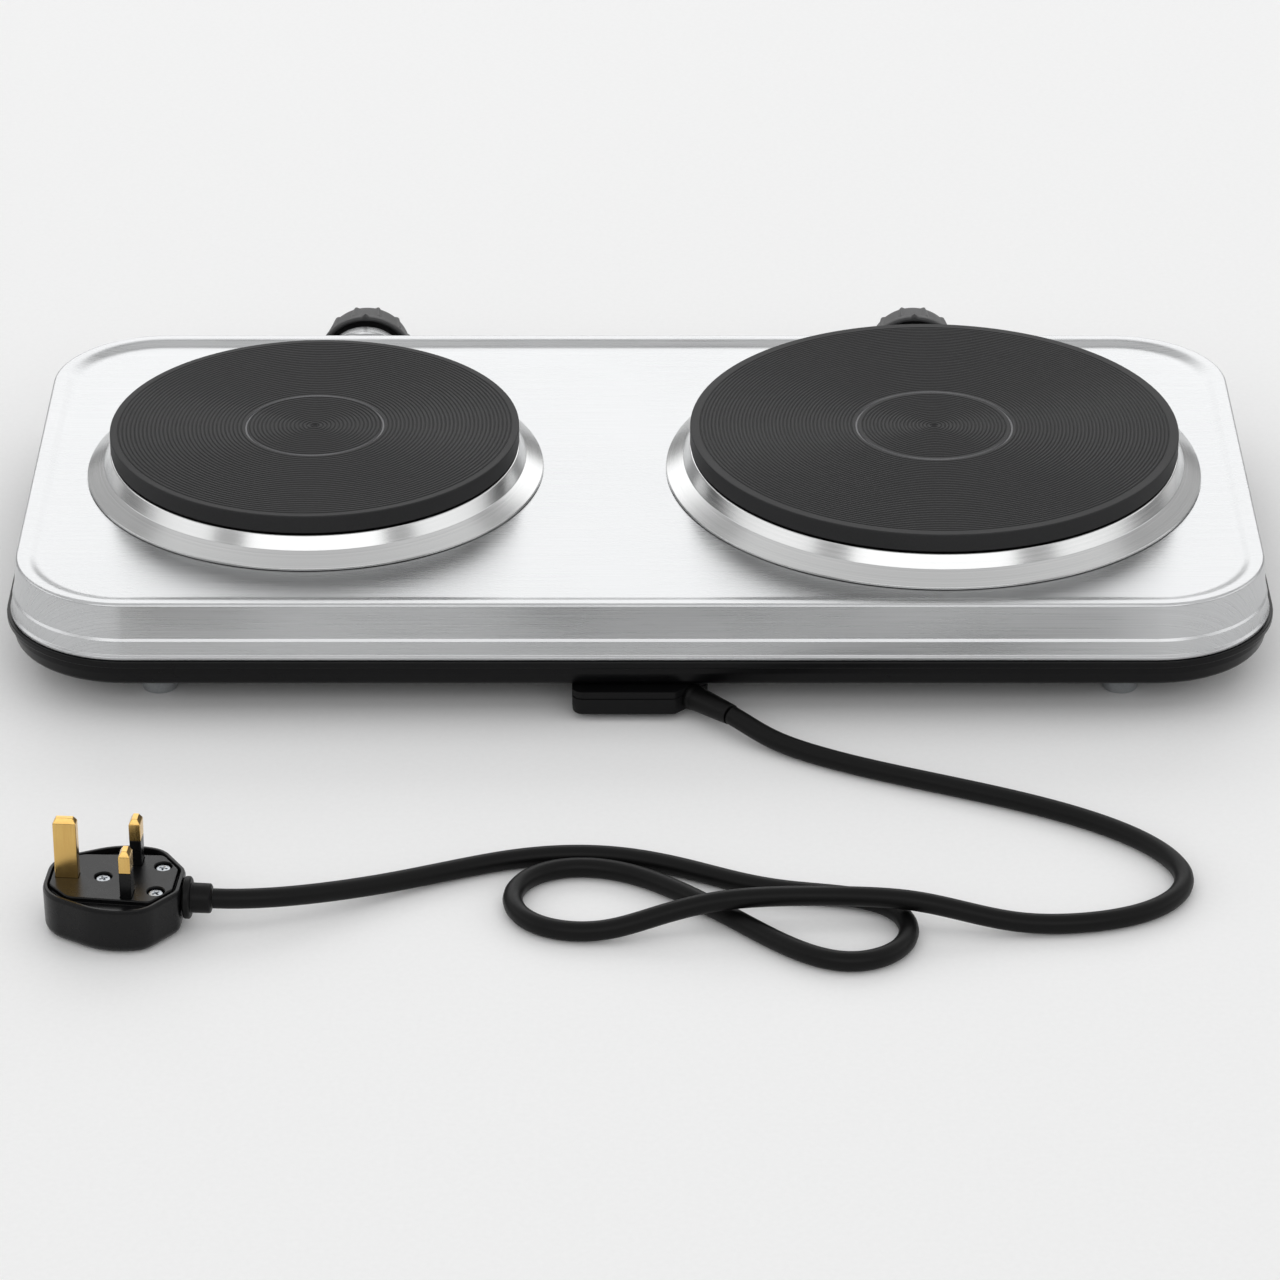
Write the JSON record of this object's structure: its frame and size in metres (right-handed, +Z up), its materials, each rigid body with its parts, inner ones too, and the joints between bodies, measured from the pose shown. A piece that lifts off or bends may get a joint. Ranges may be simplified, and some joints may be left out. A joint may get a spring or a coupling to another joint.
{
  "type": "hot plate burner",
  "caption": "Countertop electric hot plate: cast-iron plates in spill rings on a low stainless body, front heat knobs, rubber feet and a mains cord with a pin plug.",
  "frame": {"origin": "on the standing surface, midway between the knobs' front faces and the rear face of the terminal box, and midway between the ends of the body; the cord and plug are left out", "axes": "+X along the long side, towards the small plate; +Y to the rear, where the cord leaves; +Z up out of the plates"},
  "size_m": [0.4684, 0.4451, 0.061],
  "materials": {
    "stainless": "pressed sheet, brushed along its length",
    "zinc_steel": "zinc plated",
    "cast_iron": "turned in fine rings, heat-proof dark coating",
    "black_enamel": "semi-gloss black enamel",
    "black_plastic": "moulded, satin",
    "black_pvc": "extruded, matt",
    "ceramic": "pressed steatite, unglazed",
    "element": "pressed insulating mass",
    "clear_rubber": "translucent grey, satin",
    "brass": "machined, bright",
    "lamp_red": "clear red lens",
    "wire_brown": "extruded",
    "wire_blue": "extruded",
    "wire_earth": "extruded"
  },
  "bodies": {
    "hob": {"base_pan": "black_enamel", "cord_bush": "black_pvc", "cord_clamp": "zinc_steel", "cord_tail": "black_pvc", "earth_pin": "brass", "earth_wire": "wire_earth", "foot_front_left": "clear_rubber", "foot_front_right": "clear_rubber", "foot_rear_left": "clear_rubber", "foot_rear_right": "clear_rubber", "foot_screw_front_left": "zinc_steel", "foot_screw_front_right": "zinc_steel", "foot_screw_rear_left": "zinc_steel", "foot_screw_rear_right": "zinc_steel", "large_bridge_strap": "zinc_steel", "large_element_cover": "zinc_steel", "large_heating_element": "element", "large_pilot_lamp": "lamp_red", "large_plate": "cast_iron", "large_plate_lead": "wire_brown", "large_plate_terminal": "ceramic", "large_spill_ring": "stainless", "large_stud": "zinc_steel", "large_stud_nut": "zinc_steel", "large_thermostat": "ceramic", "live_pin": "brass", "live_pin_sleeve": "black_plastic", "live_wire": "wire_brown", "mains_cord": "black_pvc", "neutral_pin": "brass", "neutral_pin_sleeve": "black_plastic", "neutral_wire": "wire_blue", "plug_base": "black_plastic", "plug_cord_clamp": "black_plastic", "plug_cover": "black_plastic", "plug_fuse": "zinc_steel", "plug_grip": "black_pvc", "plug_screw_left": "zinc_steel", "plug_screw_middle": "zinc_steel", "plug_screw_right": "zinc_steel", "small_bridge_strap": "zinc_steel", "small_element_cover": "zinc_steel", "small_heating_element": "element", "small_pilot_lamp": "lamp_red", "small_plate": "cast_iron", "small_plate_lead": "wire_brown", "small_plate_terminal": "ceramic", "small_spill_ring": "stainless", "small_stud": "zinc_steel", "small_stud_nut": "zinc_steel", "small_thermostat": "ceramic", "terminal_block": "ceramic", "terminal_box": "black_plastic", "top_cover": "stainless"},
    "small_control": {"small_knob": "black_plastic", "small_thermostat_shaft": "zinc_steel"},
    "large_control": {"large_knob": "black_plastic", "large_thermostat_shaft": "zinc_steel"}
  },
  "joints": [
    {"name": "small_knob_turn", "type": "hinge", "parent": "hob", "child": "small_control", "pos_m": [0.11, -0.12, 0.028], "axis": [0, 1, 0], "range_deg": [0, 270]},
    {"name": "large_knob_turn", "type": "hinge", "parent": "hob", "child": "large_control", "pos_m": [-0.11, -0.12, 0.028], "axis": [0, 1, 0], "range_deg": [0, 270]}
  ]
}
